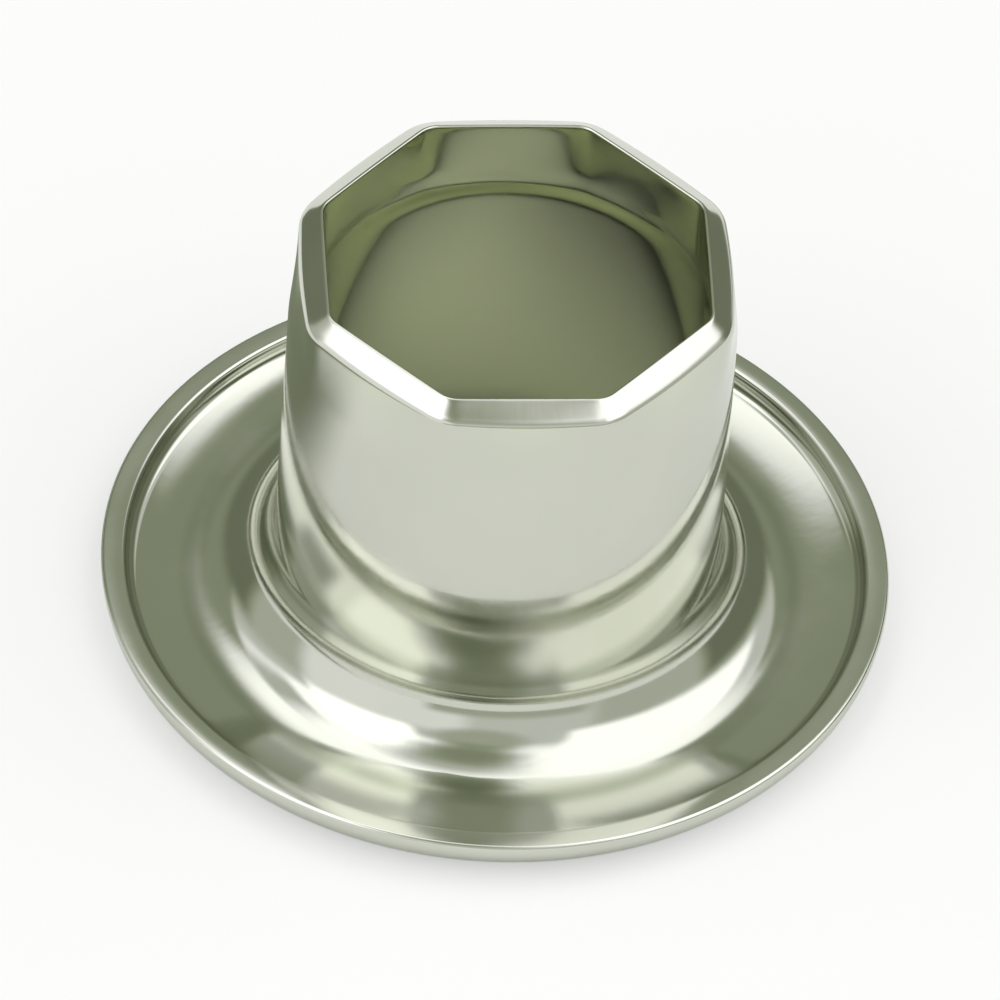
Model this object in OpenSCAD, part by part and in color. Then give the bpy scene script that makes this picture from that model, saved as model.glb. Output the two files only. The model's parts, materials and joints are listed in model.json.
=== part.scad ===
// Tarpaulin eyelet: one piece, drawn from thin sheet and bright nickel plated.
// A round barrel rolls out into the head at one end. At the other end its wall is
// pressed into an eight-sided mouth, which splits and curls evenly when it is set.
// It stands on the crown of the head, barrel up. Z runs along the barrel's axis,
// and the origin is the middle of the head's face, level with the crown.

/* [Sheet] */
// Thickness of the sheet
sheet_t = 0.3; // [0.2:0.05:0.4]

/* [Barrel] */
// Diameter of the bore
bore_d = 5; // [3.5:0.1:9]
// Height of the eyelet, from the crown of the head to the barrel's free end
eyelet_h = 6; // [4.5:0.1:10]

/* [Head] */
// How far the head stands out from the barrel's outside
head_w = 2.15; // [1.9:0.05:3.5]
// Radius of the roll from the bore out to the crown
throat_r = 1.3; // [0.8:0.05:1.5]
// Radius of the face in section, where it rises from the crown to the rim
face_r = 4; // [2:0.1:8]
// Radius of the bend at the rim
rim_r = 0.5; // [0.45:0.05:0.8]
// Height of the straight lip past the bend at the rim
lip_h = 0.05; // [0.02:0.01:0.5]

/* [Mouth] */
// Number of flats round the mouth
flats = 8; // [6:2:12]
// Height of a flat, from the free end down to where it meets the round wall
flat_h = 1.1; // [0.8:0.1:2]
// How far each flat is pressed in at the free end
flat_depth = 0.13; // [0.08:0.01:0.3]
// How far the rounded corners between the flats spread out at the free end
corner_out = 0.04; // [0.02:0.01:0.08]
// How far the cut edge at the free end drops, from the bore out across the sheet
edge_drop = 0.22; // [0.02:0.02:0.4]

/* [Hidden] */
$fn = 96;

bore_r = bore_d / 2;
barrel_r = bore_r + sheet_t;
head_r = barrel_r + head_w;

// Section of the head: centres of the roll at the bore, of the rising face and of the
// bend at the rim. The three arcs are tangent, and the crown, where the first two
// meet, touches z = 0.
throat_c = [bore_r + throat_r, throat_r];
face_c = [throat_c.x, face_r];
rim_x = head_r - rim_r;
rim_c = [rim_x, face_r - sqrt(pow(face_r - rim_r, 2) - pow(rim_x - face_c.x, 2))];
lip_z = rim_c.y + lip_h;

// The flats leave the straight wall at flat_z. Solids that are trimmed there or at
// the free end run past it by spare.
flat_z = eyelet_h - flat_h;
flat_slope = flat_depth / flat_h;
corner_slope = corner_out / flat_h;
spare = sheet_t;
nickel = [0.78, 0.78, 0.73];

// Point on the line from the face's centre through p, past the face
function past_face(p) = face_c + (p - face_c) * 2 * face_r / norm(p - face_c);

// All that lies on the cloth side of the sheet's face, moved in by inset and cut off at top
module dish(inset, top) {
    wall_x = bore_r + inset;
    intersection() {
        translate(throat_c) circle(throat_r - inset);
        square([rim_x, 2 * throat_r]);
    }
    intersection() {
        translate(face_c) circle(face_r - inset);
        polygon([face_c, past_face(throat_c), past_face(rim_c)]);
    }
    translate(rim_c) circle(rim_r - inset);
    polygon([
        [wall_x, throat_c.y], throat_c, rim_c, [head_r - inset, rim_c.y],
        [head_r - inset, top], [wall_x + corner_slope * (top - flat_z), top], [wall_x, flat_z]
    ]);
}

// Section of the sheet: lip, rim, face, throat and the barrel's wall
module sheet_section() {
    difference() {
        dish(0, eyelet_h + spare);
        dish(sheet_t, eyelet_h + 2 * spare);
        translate([rim_x, lip_z]) square([head_w, eyelet_h]);
    }
}

// Half the distance across two opposite flats at height z, moved in by inset
function flat_reach(z, inset) =
    barrel_r - flat_slope * (z - flat_z) - inset * sqrt(1 + pow(flat_slope, 2));

// One side of the section across two opposite flats, from below them up to the height top
function flat_side(inset, top) =
    [for (z = [flat_z - 2 * spare, top]) [flat_reach(z, inset), z]];

// Core with one face for each flat, whose section across two flats has this side
module core(side) {
    other_side = [for (i = [len(side) - 1 : -1 : 0]) [-side[i].x, side[i].y]];
    intersection_for (i = [0 : flats / 2 - 1])
        rotate([90, 0, i * 360 / flats])
            linear_extrude(4 * barrel_r, center = true)
                polygon([each side, each other_side]);
}

// Sheet on the inside of the flats, where they stand in from the round wall
module pressed_inside() {
    difference() {
        translate([0, 0, flat_z - spare])
            cylinder(r = bore_r + sheet_t / 2, h = flat_h + 2 * spare);
        core(flat_side(sheet_t, eyelet_h + 2 * spare));
    }
}

// Space that the pressed eyelet keeps to: the flats' outsides, the sloping cut edge
// on top of them, and all below them
module pressed_outside() {
    inner_edge = [flat_reach(eyelet_h, sheet_t), eyelet_h];
    core([each flat_side(0, eyelet_h - edge_drop), inner_edge]);
    translate([0, 0, -spare]) cylinder(r = 2 * head_r, h = flat_z);
}

module eyelet() {
    color(nickel)
        intersection() {
            union() {
                rotate_extrude() sheet_section();
                pressed_inside();
            }
            pressed_outside();
        }
}

eyelet();
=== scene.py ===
"""Tarpaulin eyelet in bright nickel plate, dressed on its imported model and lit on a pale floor."""

import json
import math

import bpy
from bpy.props import FloatProperty, FloatVectorProperty, IntProperty, PointerProperty
from bpy.types import Operator, Panel, PropertyGroup
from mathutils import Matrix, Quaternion, Vector


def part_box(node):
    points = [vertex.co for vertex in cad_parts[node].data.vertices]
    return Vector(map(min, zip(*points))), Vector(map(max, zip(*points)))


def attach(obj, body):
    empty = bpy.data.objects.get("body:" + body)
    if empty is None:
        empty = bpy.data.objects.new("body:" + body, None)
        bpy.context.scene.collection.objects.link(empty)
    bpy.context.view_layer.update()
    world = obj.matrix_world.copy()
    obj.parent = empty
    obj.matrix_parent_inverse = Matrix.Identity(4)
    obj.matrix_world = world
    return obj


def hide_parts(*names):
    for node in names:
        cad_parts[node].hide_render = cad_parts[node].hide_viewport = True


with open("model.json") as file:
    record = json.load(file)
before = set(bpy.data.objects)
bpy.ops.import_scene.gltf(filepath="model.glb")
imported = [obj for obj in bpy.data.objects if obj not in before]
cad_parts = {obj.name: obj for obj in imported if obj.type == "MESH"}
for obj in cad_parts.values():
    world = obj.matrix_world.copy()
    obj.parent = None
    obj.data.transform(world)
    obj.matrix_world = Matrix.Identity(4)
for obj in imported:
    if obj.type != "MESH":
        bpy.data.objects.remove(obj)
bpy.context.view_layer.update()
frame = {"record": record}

bl_info = {
    "name": "Tarpaulin eyelet",
    "version": (1, 0, 0),
    "blender": (4, 5, 0),
    "location": "View3D > Sidebar > Eyelet",
    "description": "Builds a sheet metal eyelet with a rolled head and an eight-sided mouth",
    "category": "Object",
}

MM = 0.001
LOW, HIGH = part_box("eyelet")

# Mesh rows over each short stretch of the section, such as a small rounding
SHORT = 6


def mount_size(mount, size):
    """A size that the record gives for one of its mounts, in metres."""
    found = next(m for m in frame["record"]["mounts"] if m["name"] == mount)
    return found["dims"][size] * MM


def length(name, description, default, low, high):
    """A length that a user can set, in metres, with its limits given in millimetres."""
    return FloatProperty(
        name=name, description=description, default=default, min=low * MM, max=high * MM,
        precision=5, unit="LENGTH", subtype="DISTANCE",
    )


def angle(name, description, default, low, high):
    """An angle that a user can set, given here in degrees."""
    return FloatProperty(
        name=name, description=description, default=math.radians(default),
        min=math.radians(low), max=math.radians(high), subtype="ANGLE", unit="ROTATION",
    )


def share(name, description, default, high=1.0):
    """A plain number from 0 up that a user can set."""
    return FloatProperty(name=name, description=description, default=default, min=0, max=high)


def colour(name, description, default):
    """A colour that a user can set."""
    return FloatVectorProperty(
        name=name, description=description, default=default, size=3, min=0, max=1, subtype="COLOR",
    )


class EyeletSizes(PropertyGroup):
    """Sizes of the eyelet's sheet, barrel, head and mouth."""

    bore_r: length(
        "Bore radius", "Inside of the barrel", mount_size("cord_bore", "r_mm"), 1.75, 4.5)
    barrel_r: length("Barrel radius", "Outside of the barrel", mount_size("barrel", "r_mm"), 2, 5)
    head_r: length("Head radius", "Outside of the head's rim", HIGH.x, 3.5, 9)
    height: length("Height", "From the crown to the free end", HIGH.z - LOW.z, 4.5, 10)
    throat_r: length(
        "Throat roll", "Radius of the roll from the bore out to the crown", 1.3 * MM, 0.8, 1.5)
    face_r: length("Face radius", "Radius of the face from the crown to the rim", 4 * MM, 2, 8)
    rim_r: length("Rim bend", "Outside radius of the bend at the rim", 0.5 * MM, 0.45, 0.8)
    lip_h: length("Lip height", "Straight lip past the bend", 0.05 * MM, 0.02, 0.5)
    flat_h: length("Flat height", "From the free end down to the round wall", 1.1 * MM, 0.8, 2)
    flat_depth: length(
        "Flat depth", "How far a flat is pressed in at the free end", 0.13 * MM, 0.08, 0.3)
    corner_r: length(
        "Corner rounding", "Outside radius of the corners between the flats", 0.6 * MM, 0.4, 1)
    fold_h: length(
        "Fold", "Half the height over which the round wall turns into flats",
        0.12 * MM, 0.01, 0.3)
    groove: length(
        "Groove", "Depth of the mark that the press leaves in the bore at the fold",
        0.025 * MM, 0, 0.05)
    groove_h: length("Groove height", "Half the height of that mark", 0.16 * MM, 0.05, 0.3)
    edge_drop: length(
        "Edge drop", "How far the cut edge slopes down across the sheet", 0.22 * MM, 0.02, 0.4)
    edge_soft: length(
        "Edge rounding", "How far the cut edge's two corners are rounded", 0.07 * MM, 0.01, 0.1)
    flats: IntProperty(name="Flats", description="Flats round the mouth", default=8, min=6, max=12)
    facets: IntProperty(
        name="Facets", description="Mesh columns round the axis", default=384, min=96, max=384)


class NickelFinish(PropertyGroup):
    """Look of the nickel plate."""

    plate: colour("Plate", "Colour of the nickel plate", (0.605, 0.62, 0.55))
    thin: colour("Rubbed plate", "Colour of hazy and rubbed places", (0.65, 0.655, 0.60))
    # The bore's colour is lighter than the plate's: painted light inside the shaded bore.
    bore: colour("Bore", "Colour inside the barrel, lightened as painted light", (0.73, 0.77, 0.56))
    # The next colour and its width paint shade along the bottom of the trough.
    trough_shade_colour: colour("Trough shade", "Colour of the painted shade in the bottom of the trough", (0.27, 0.30, 0.21))
    trough_shade_width: length("Trough shade width", "Half the width of that painted shade", 0.22 * MM, 0.05, 0.5)
    polish: share("Roughness", "Middle roughness of the plate", 0.055)
    haze: share("Haze", "Roughness that the faint haze adds", 0.06)
    cut: share("Cut edge", "Roughness of the sheet's cut edge", 0.12)
    relief: length("Relief", "Height of the finest draw lines and tool marks", 0.0012 * MM, 0, 0.01)


class StudioLook(PropertyGroup):
    """Floor, light and camera."""

    azimuth: angle("Camera azimuth", "Camera's turn round the eyelet, to the right", -6, -180, 180)
    elevation: angle("Camera elevation", "Height of the camera above the floor", 45.5, 0, 90)
    roll: angle("Camera roll", "Turn of the camera about its own axis", 4.2, -180, 180)
    distance: FloatProperty(
        name="Camera distance", description="From the camera to the middle of the eyelet",
        default=0.35, min=0.05, max=2, subtype="DISTANCE", unit="LENGTH",
    )
    field: length("Field", "Width of the picture at the eyelet", 12.52 * MM, 1, 100)
    aim: share("Aim", "Height that the camera looks at, as a share of the eyelet's", 0.29)
    floor: share("Floor", "Paleness of the floor", 0.96)
    glow: share("Glow", "Share of plain white in the floor as the camera sees it", 0.45)
    mirrored: share("Mirrored floor", "Paleness of the floor where the metal mirrors it", 0.94)
    strip: share("Strip", "Paleness of the card on the floor, which only the metal mirrors", 0.25)
    shadow: share("Shadow", "Depth of the shadow on the left of the floor inside the bore", 0.56)
    walls: share("Walls", "Brightness of the studio's walls", 0.74, 4)
    sides: share("Sides", "Brightness of the studio's lower part on each side", 0.58, 4)
    fill: share("Fill", "Brightness of the low light on the left of the camera", 1.03, 4)
    top: share("Top", "Brightness of the studio above the cards", 1.6, 4)
    ceiling: share("Ceiling", "Brightness of the light overhead", 2.2, 4)
    window: share("Window", "Brightness of the light on the left of the camera", 2.1, 4)
    panels: share("Panels", "Brightness of the lights on the right and behind on the left", 1.7, 4)
    shade: share("Shade", "Brightness of the grey cards behind on the left and overhead", 0.64, 4)
    halo: share("Halo", "Brightness of the grey cards round and below the camera", 0.52, 4)
    front: share("Front", "Brightness of the dark card above the camera", 0.34, 4)
    band: share("Band", "Brightness of the grey band above the dark card behind", 0.35, 4)
    back: share("Back", "Brightness of the dark card behind", 0.22, 4)
    card: colour("Card", "Colour of the dark cards", (0.89, 1.0, 0.70))


class Value:
    """A socket of a shader, so that its maths can be written as Python."""

    def __init__(self, graph, socket):
        self.graph = graph
        self.socket = socket

    def math(self, operation, *values):
        """Maths on this value and others."""
        inputs = dict(enumerate((self, *values)))
        return self.graph.node("ShaderNodeMath", {"operation": operation}, inputs)

    def __add__(self, other):
        return self.math("ADD", other)

    def __mul__(self, other):
        return self.math("MULTIPLY", other)

    def __sub__(self, other):
        return self.math("SUBTRACT", other)

    def __rsub__(self, other):
        return self.graph.node("ShaderNodeMath", {"operation": "SUBTRACT"}, {0: other, 1: self})

    __radd__ = __add__
    __rmul__ = __mul__

    def rise(self, low, high):
        """0 below low and 1 above high, with a smooth step between them."""
        return self.graph.node(
            "ShaderNodeMapRange", {"interpolation_type": "SMOOTHSTEP"},
            {"Value": self, "From Min": low, "From Max": high},
        )


class Graph:
    """The nodes of one material or world."""

    def __init__(self, tree):
        self.tree = tree
        tree.nodes.clear()

    def node(self, kind, settings=(), inputs=(), output=0):
        """A new node: its settings are made first, then its sockets filled or linked."""
        made = self.tree.nodes.new(kind)
        for name, setting in dict(settings).items():
            setattr(made, name, setting)
        for key, value in dict(inputs).items():
            if isinstance(value, Value):
                self.tree.links.new(value.socket, made.inputs[key])
            else:
                made.inputs[key].default_value = value
        return Value(self, made.outputs[output]) if made.outputs else None

    def vector(self, operation, *values, output="Vector"):
        """Maths on vectors."""
        inputs = dict(enumerate(values))
        return self.node("ShaderNodeVectorMath", {"operation": operation}, inputs, output)

    def blend(self, factor, first, second):
        """A colour between two others."""
        first, second = (c if isinstance(c, Value) else (*c, 1) for c in (first, second))
        inputs = {0: factor, 6: first, 7: second}
        return self.node("ShaderNodeMix", {"data_type": "RGBA"}, inputs, 2)

    def noise(self, place, scale, detail):
        """Even noise from 0 to 1 at a place, with this many features to its unit."""
        inputs = {"Vector": place, "Scale": scale, "Detail": detail}
        return self.node("ShaderNodeTexNoise", {}, inputs)


def arc(centre, radius, start, end, steps):
    """Points round part of a circle, in this many steps. 0 degrees points outwards and 90 up."""
    turns = (math.radians(start + (end - start) * i / steps) for i in range(steps + 1))
    return [(centre[0] + radius * math.cos(a), centre[1] + radius * math.sin(a)) for a in turns]


def between(start, end, steps):
    """Points along a straight stretch, without its two ends."""
    shares = (i / steps for i in range(1, steps))
    return [tuple(a + (b - a) * part for a, b in zip(start, end)) for part in shares]


def toward(start, end, step):
    """The point this far from start on the way to end."""
    part = step / math.dist(start, end)
    return tuple(a + (b - a) * part for a, b in zip(start, end))


def rounded(start, corner, end, steps):
    """A curve after start that rounds the corner off and stops at end."""
    parts = (i / steps for i in range(1, steps + 1))
    return [
        tuple((1 - t) ** 2 * a + 2 * t * (1 - t) * b + t * t * c
              for a, b, c in zip(start, corner, end))
        for t in parts
    ]


def soft_ramp(x, soft):
    """0 below nothing and x above it, with the bend between rounded over soft each way."""
    return max(x, 0) if abs(x) > soft else (x + soft) ** 2 / (4 * soft)


def soft_polygon(reach, turn, sides, corner_r):
    """Distance to a polygon with rounded corners, turn away from the middle of a side."""
    half = math.pi / sides
    run = (reach - corner_r) * math.tan(half)
    if reach * math.tan(abs(turn)) <= run:
        return reach / math.cos(turn)
    centre = math.hypot(reach - corner_r, run)
    off = half - abs(turn)
    return centre * math.cos(off) + math.sqrt(corner_r ** 2 - (centre * math.sin(off)) ** 2)


class Section:
    """The eyelet's section, in the half plane of distance from the axis and height."""

    def __init__(self, sizes):
        self.s = s = sizes
        self.sheet = s.barrel_r - s.bore_r
        self.lean = math.hypot(1, s.flat_depth / s.flat_h)
        self.flat_z = s.height - s.flat_h
        self.throat = (s.bore_r + s.throat_r, s.throat_r)
        self.face = (self.throat[0], s.face_r)
        rim_x = s.head_r - s.rim_r
        run, reach = rim_x - self.face[0], s.face_r - s.rim_r
        self.tilt = math.degrees(math.asin(run / reach))
        self.rim = (rim_x, s.face_r - math.sqrt(reach ** 2 - run ** 2))
        self.lip_z = self.rim[1] + s.lip_h

    def wall(self, z, turn, inset):
        """Distance from the axis to the wall at height z, turn away from the middle of a flat."""
        s = self.s
        up = z - self.flat_z
        round_wall = s.barrel_r - inset
        flat = s.barrel_r - s.flat_depth - inset * self.lean
        flat_wall = soft_polygon(flat, turn, s.flats, s.corner_r - inset)
        mark = s.groove * inset / self.sheet * math.exp(-(up / s.groove_h) ** 2)
        return round_wall + (flat_wall - round_wall) * soft_ramp(up, s.fold_h) / s.flat_h + mark

    def head_outside(self):
        """Lip, rim, face and throat, from the lip's edge in to the bore."""
        s = self.s
        lip = (s.head_r - s.lip_h, self.rim[1])
        return (
            arc(lip, s.lip_h, 90, 0, SHORT)
            + arc(self.rim, s.rim_r, 0, self.tilt - 90, 20)[1:]
            + arc(self.face, s.face_r, self.tilt - 90, -90, 12)[1:]
            + arc(self.throat, s.throat_r, -90, -180, 32)[1:]
        )

    def head_inside(self):
        """The same on the cloth side, from the barrel's foot out to the lip's edge."""
        s = self.s
        lip = (s.head_r - self.sheet + s.lip_h, self.rim[1])
        return (
            arc(self.throat, s.throat_r - self.sheet, -180, -90, 32)
            + arc(self.face, s.face_r - self.sheet, -90, self.tilt - 90, 12)[1:]
            + arc(self.rim, s.rim_r - self.sheet, self.tilt - 90, 0, 14)[1:]
            + arc(lip, s.lip_h, 180, 90, SHORT)[1:]
        )

    def mouth(self, turn):
        """The pressed mouth at one angle, up the bore and down the outside."""
        s = self.s

        def climb(inset, top):
            """The wall from well below the fold, where the rows are close, up to the top."""
            to_groove, past_groove, on_flat = 5, 11, 8
            near = range(-past_groove, past_groove + 1)
            fold = [self.flat_z + s.groove_h * i / to_groove for i in near]
            flat = [fold[-1] + (top - fold[-1]) * i / on_flat for i in range(1, on_flat + 1)]
            return [(self.wall(z, turn, inset), z) for z in fold + flat]

        inner, outer = s.height, s.height - s.edge_drop
        inside, outside = climb(self.sheet, inner - s.edge_soft), climb(0, outer - s.edge_soft)
        tip = (self.wall(inner, turn, self.sheet), inner)
        shoulder = (self.wall(outer, turn, 0), outer)
        over_tip = toward(tip, shoulder, s.edge_soft)
        over_shoulder = toward(shoulder, tip, s.edge_soft)
        return (
            inside + rounded(inside[-1], tip, over_tip, SHORT)
            + between(over_tip, over_shoulder, SHORT)
            + rounded(over_shoulder, shoulder, outside[-1], SHORT) + outside[-2::-1]
        )

    def loop(self, turn):
        """The whole closed section at one angle round the axis."""
        face, cloth, mouth = self.head_outside(), self.head_inside(), self.mouth(turn)
        up_bore = between(face[-1], mouth[0], SHORT)
        down_barrel = between(mouth[-1], cloth[0], SHORT)
        return face + up_bore + mouth + down_barrel + cloth


def lathe(name, section, columns, flats):
    """A closed mesh of the section swept round the axis, its mouth pressed into flats."""
    fold = 2 * math.pi / flats
    verts = []
    for j in range(columns):
        spin = 2 * math.pi * j / columns
        turn = (spin + fold / 2) % fold - fold / 2
        ring = section.loop(turn)
        verts += [(r * math.cos(spin), r * math.sin(spin), z) for r, z in ring]
    rows = len(ring)
    faces = [
        (j * rows + i, j * rows + (i + 1) % rows,
         (j + 1) % columns * rows + (i + 1) % rows, (j + 1) % columns * rows + i)
        for j in range(columns) for i in range(rows)
    ]
    mesh = bpy.data.meshes.new(name)
    mesh.from_pydata(verts, [], faces)
    mesh.shade_smooth()
    piece = bpy.data.objects.new(name, mesh)
    bpy.context.scene.collection.objects.link(piece)
    return piece


def nickel_plate(finish, section):
    """Bright nickel plate on drawn sheet, with draw lines, tool rings, haze and rubbed edges."""
    material = bpy.data.materials.new("bright_nickel_plate")
    material.use_nodes = True
    graph = Graph(material.node_tree)
    place = graph.node("ShaderNodeTexCoord", output="Object")
    height = graph.node("ShaderNodeSeparateXYZ", {}, {0: place}, "Z")
    outwards = graph.vector("MULTIPLY", place, (1, 1, 0))
    reach = graph.vector("LENGTH", outwards, output="Value")
    turn = graph.vector("NORMALIZE", outwards)

    # The sheet flows along the barrel and out over the head, and leaves lines that way:
    # many to a turn round the axis, and few along it.
    along = graph.node("ShaderNodeCombineXYZ", {}, {"Z": (reach + height) * 60})
    flow = graph.noise(graph.vector("ADD", turn, along), 42, 3.0)

    # Rings left by the tool, the plate's orange peel, and haze, by features to a metre
    round_axis = graph.node("ShaderNodeCombineXYZ", {}, {"X": reach, "Y": height})
    rings = graph.noise(round_axis, 9000, 2.0)
    peel = graph.noise(place, 5200, 1.0)
    haze = graph.noise(place, 700, 4.0)

    # Cut edges of the sheet: the mouth's end, and the end of the lip
    s = section.s
    facing = graph.node("ShaderNodeTexCoord", output="Normal")
    faces_up = graph.node("ShaderNodeSeparateXYZ", {}, {0: facing}, "Z").rise(0.3, 0.6)
    mouth_cut = height.rise(s.height - s.edge_drop * 1.5, s.height - s.edge_drop) * faces_up
    lip_cut = reach.rise(s.head_r - section.sheet, s.head_r - section.sheet * 0.9)
    cut = mouth_cut + lip_cut * height.rise(section.rim[1], section.lip_z)
    # Inside the bore, where the plate's colour is lightened as painted light
    inside = (1 - reach.rise(s.bore_r, s.barrel_r)) * height.rise(0, s.throat_r) * (1 - mouth_cut)

    # Painted shade: a dark band in the bottom of the trough between the barrel and the rim, in
    # patches.
    trough_r, trough_shade_width = section.throat[0], finish.trough_shade_width
    trough = reach.rise(trough_r - trough_shade_width, trough_r) * (1 - reach.rise(trough_r, trough_r + trough_shade_width))
    trough_shade_mask = trough * faces_up * haze.rise(0.1, 0.5)

    # Haze, the trough's band of painted shade and draw lines each dull the plate a little, and cut
    # edges are duller still.
    dull = haze.rise(0.35, 0.75)
    roughness = finish.polish + dull * finish.haze + trough_shade_mask * 0.12 + flow * 0.02
    roughness = roughness + cut * (finish.cut - finish.polish)
    relief = flow * 0.15 + rings * 0.12 + peel * 0.3
    bump = graph.node(
        "ShaderNodeBump", {}, {"Height": relief, "Strength": 1.0, "Distance": finish.relief})
    plate = graph.blend(dull * 0.45 + cut * 0.8, finish.plate, finish.thin)
    # Painted shade darkens the plate along the bottom of the trough.
    trough_shaded_plate = graph.blend(trough_shade_mask * 0.5, plate, finish.trough_shade_colour)
    # Inside the bore the plate is lighter and yellow-green; the lightening is painted light.
    shader = graph.node("ShaderNodeBsdfPrincipled", {}, {
        "Base Color": graph.blend(inside, trough_shaded_plate, finish.bore),
        "Metallic": 1,
        "Roughness": roughness,
        "Normal": bump,
    })
    graph.node("ShaderNodeOutputMaterial", {}, {"Surface": shader})
    return material


class EYELET_OT_make_eyelet(Operator):
    """Builds the eyelet from its sizes and plates it"""

    bl_idname = "eyelet.make_eyelet"
    bl_label = "Eyelet"

    def execute(self, context):
        sizes = context.scene.eyelet_sizes
        section = Section(sizes)
        piece = lathe("eyelet_shell", section, sizes.facets, sizes.flats)
        piece.data.materials.append(nickel_plate(context.scene.eyelet_finish, section))
        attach(piece, "root")
        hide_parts("eyelet")
        return {"FINISHED"}


def sine(degrees):
    """Sine of an angle in degrees."""
    return math.sin(math.radians(degrees))


def cosine(degrees):
    """Cosine of an angle in degrees."""
    return math.cos(math.radians(degrees))


def direction(azimuth, elevation):
    """Unit vector from the eyelet. Azimuth 0 is the camera's side, and 90 is on its right."""
    out = cosine(elevation)
    return Vector((out * sine(azimuth), -out * cosine(azimuth), sine(elevation)))


def make_floor(look):
    """A wide pale floor, a hair below the crown that rests on it."""
    mesh = bpy.data.meshes.new("floor")
    half, gap = 3.0, 0.002 * MM
    corners = [(-half, -half, 0), (half, -half, 0), (half, half, 0), (-half, half, 0)]
    mesh.from_pydata(corners, [], [(0, 1, 2, 3)])
    floor = bpy.data.objects.new("floor", mesh)
    floor.location.z = LOW.z - gap
    bpy.context.scene.collection.objects.link(floor)
    material = bpy.data.materials.new("pale_floor")
    material.use_nodes = True
    graph = Graph(material.node_tree)
    place = graph.node("ShaderNodeTexCoord", output="Object")
    beyond = graph.vector("DOT_PRODUCT", place, direction(-150, 0), output="Value")
    leftwards = graph.vector("DOT_PRODUCT", place, direction(-90, 0), output="Value")
    reach = graph.vector("LENGTH", place, output="Value")

    # What only the metal mirrors: a dark card that lies on the floor some millimetres
    # behind the axis, and the shadow on the left of the floor inside the bore
    card = beyond.rise(1.9 * MM, 5 * MM) * (1 - beyond.rise(7 * MM, 9 * MM))
    card_tone = [part * look.strip for part in look.card]
    reflection = graph.blend(card, (look.mirrored,) * 3, card_tone)
    shadow = leftwards.rise(-1.6 * MM, 3.2 * MM) * (1 - reach.rise(3 * MM, 4 * MM))
    reflection = graph.blend(shadow * look.shadow, reflection, (0, 0, 0))
    mirrored = graph.node("ShaderNodeLightPath", output="Is Glossy Ray")
    tone = graph.blend(mirrored, (look.floor,) * 3, reflection)

    lit = graph.node("ShaderNodeBsdfDiffuse", {}, {"Color": tone})
    white = graph.node("ShaderNodeEmission", {}, {"Color": (1, 1, 1, 1), "Strength": 1})
    seen = graph.node("ShaderNodeLightPath", output="Is Camera Ray")
    shader = graph.node("ShaderNodeMixShader", {}, {0: seen * look.glow, 1: lit, 2: white})
    graph.node("ShaderNodeOutputMaterial", {}, {"Surface": shader})
    mesh.materials.append(material)


def make_world(look):
    """A soft studio: lights overhead and on each side, and dark cards in front and behind."""
    world = bpy.data.worlds.new("studio")
    world.use_nodes = True
    bpy.context.scene.world = world
    graph = Graph(world.node_tree)
    way = graph.node("ShaderNodeTexCoord", output="Generated")
    level_way = graph.vector("NORMALIZE", graph.vector("MULTIPLY", way, (1, 1, 0)))
    lift = graph.node("ShaderNodeSeparateXYZ", {}, {0: way}, "Z")

    def round_card(azimuth, elevation, inner, outer):
        """1 within inner degrees of a direction, and 0 past outer."""
        facing = graph.vector("DOT_PRODUCT", way, direction(azimuth, elevation), output="Value")
        return facing.rise(cosine(outer), cosine(inner))

    def wall_card(azimuth, half_width, low, high, soft):
        """1 between two elevations and round an azimuth, with soft edges, all in degrees."""
        facing = graph.vector("DOT_PRODUCT", level_way, direction(azimuth, 0), output="Value")
        sides = facing.rise(cosine(half_width + soft), cosine(half_width - soft))
        bottom = lift.rise(sine(low - soft), sine(low + soft))
        top = lift.rise(sine(high - soft), sine(high + soft))
        return sides * bottom * (1 - top)

    # The walls pass into the lighter top from 44 to 59 degrees up. Each card hides those
    # listed before it, and the low ones reach down past the horizon, to the angle foot.
    foot = -20
    level = look.walls + lift.rise(0.70, 0.86) * (look.top - look.walls)
    for card, brightness in (
        (round_card(-20, 72, 16, 24), look.ceiling),
        (wall_card(-95, 60, foot, 35, 6), look.sides),
        (wall_card(82, 40, foot, 32, 5), look.sides),
        (wall_card(80, 47, 34, 80, 4), look.panels),
        (wall_card(-108, 26, 43, 74, 4), look.panels),
        (wall_card(-64, 25, 35, 76, 5), look.window),
        (wall_card(-52, 38, foot, 38, 6), look.fill),
        (wall_card(-121, 15, 46, 62, 6), look.shade),
        (round_card(-38, 81, 3, 18), look.shade),
        (wall_card(4, 34, foot, 10, 5), look.halo),
        (round_card(-7, 44, 8, 20), look.halo),
        (round_card(-13, 66, 3, 21), look.front),
        (wall_card(167, 7, 42, 78, 5), look.band),
        (wall_card(184, 39, foot, 49, 3), look.band),
        (wall_card(166, 70, foot, 29, 6), look.back),
    ):
        level = level + card * (brightness - level)

    # The darker a card is, the more of the card's colour it has.
    tint = graph.blend(level.rise(look.back, 0.9), look.card, (1, 1, 1))
    light = graph.node("ShaderNodeBackground", {}, {"Color": tint, "Strength": level})
    white = graph.node("ShaderNodeBackground", {}, {"Color": (1, 1, 1, 1), "Strength": 1})
    seen = graph.node("ShaderNodeLightPath", output="Is Camera Ray")
    shown = graph.node("ShaderNodeMixShader", {}, {0: seen, 1: light, 2: white})
    graph.node("ShaderNodeOutputWorld", {}, {"Surface": shown})


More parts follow.
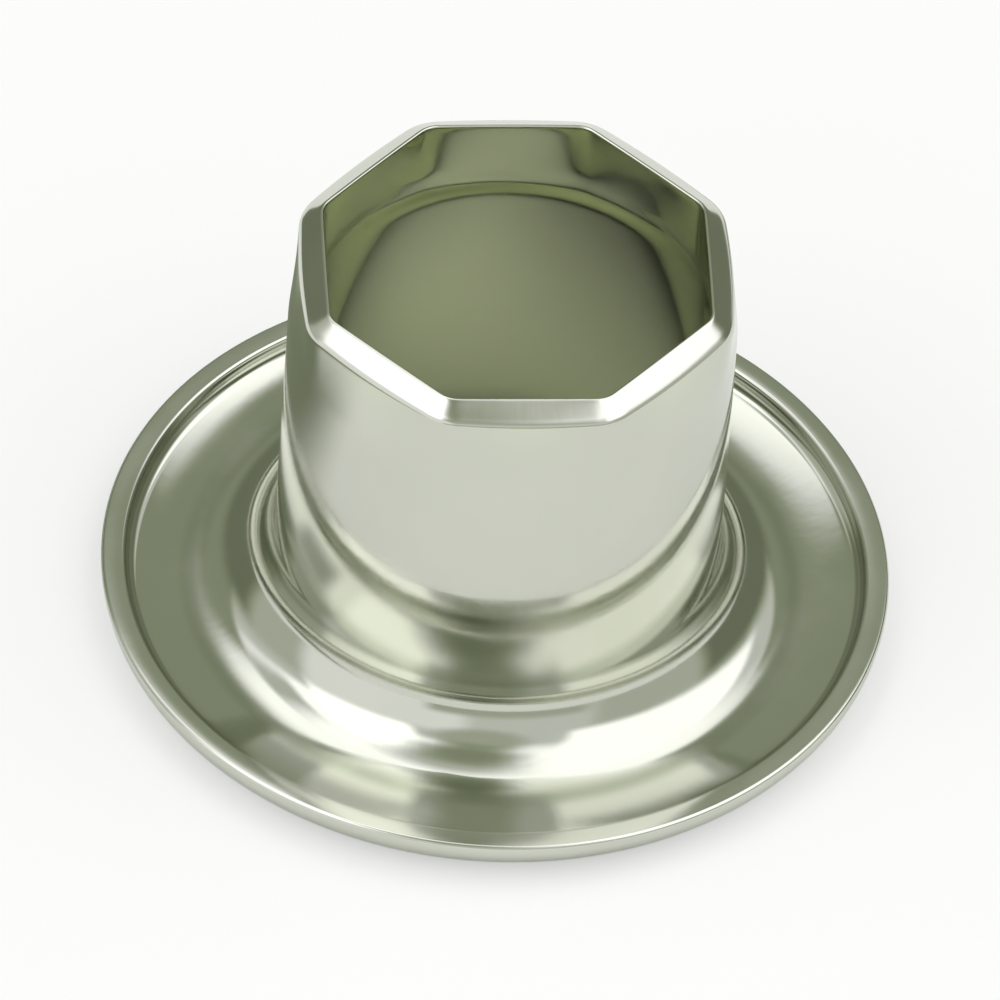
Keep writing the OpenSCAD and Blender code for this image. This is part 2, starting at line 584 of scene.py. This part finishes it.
def make_camera(look):
    """The camera, in front of the eyelet and above it."""
    data = bpy.data.cameras.new("camera")
    data.sensor_width = 36
    data.lens = data.sensor_width * look.distance / look.field
    camera = bpy.data.objects.new("camera", data)
    bpy.context.scene.collection.objects.link(camera)
    back = direction(math.degrees(look.azimuth), math.degrees(look.elevation))
    camera.location = Vector((0, 0, HIGH.z * look.aim)) + back * look.distance
    camera.rotation_mode = "QUATERNION"
    camera.rotation_quaternion = (-back).to_track_quat("-Z", "Y") @ Quaternion((0, 0, 1), look.roll)
    data.clip_start, data.clip_end = 0.01, 10
    bpy.context.scene.camera = camera


class EYELET_OT_make_studio(Operator):
    """Makes the floor, the light and the camera"""

    bl_idname = "eyelet.make_studio"
    bl_label = "Studio"

    def execute(self, context):
        look = context.scene.eyelet_studio
        make_floor(look)
        make_world(look)
        make_camera(look)
        context.scene.view_settings.view_transform = "Standard"

        # The bore and the trough mirror themselves many times over.
        context.scene.cycles.glossy_bounces = 12
        return {"FINISHED"}


class EYELET_PT_sidebar(Panel):
    """Sizes, finish and studio of the eyelet, with the buttons that build them"""

    bl_idname = "EYELET_PT_sidebar"
    bl_label = "Eyelet"
    bl_space_type = "VIEW_3D"
    bl_region_type = "UI"
    bl_category = "Eyelet"

    def draw(self, context):
        scene = context.scene
        for group in (scene.eyelet_sizes, scene.eyelet_finish, scene.eyelet_studio):
            box = self.layout.box()
            for name in group.__annotations__:
                box.prop(group, name)
        self.layout.operator(EYELET_OT_make_eyelet.bl_idname)
        self.layout.operator(EYELET_OT_make_studio.bl_idname)


CLASSES = (
    EyeletSizes, NickelFinish, StudioLook,
    EYELET_OT_make_eyelet, EYELET_OT_make_studio, EYELET_PT_sidebar,
)


def register():
    for made in CLASSES:
        bpy.utils.register_class(made)
    bpy.types.Scene.eyelet_sizes = PointerProperty(type=EyeletSizes)
    bpy.types.Scene.eyelet_finish = PointerProperty(type=NickelFinish)
    bpy.types.Scene.eyelet_studio = PointerProperty(type=StudioLook)


def unregister():
    del bpy.types.Scene.eyelet_studio
    del bpy.types.Scene.eyelet_finish
    del bpy.types.Scene.eyelet_sizes
    for made in reversed(CLASSES):
        bpy.utils.unregister_class(made)


def main():
    register()
    bpy.ops.eyelet.make_eyelet()
    bpy.ops.eyelet.make_studio()


if __name__ == "__main__":
    main()
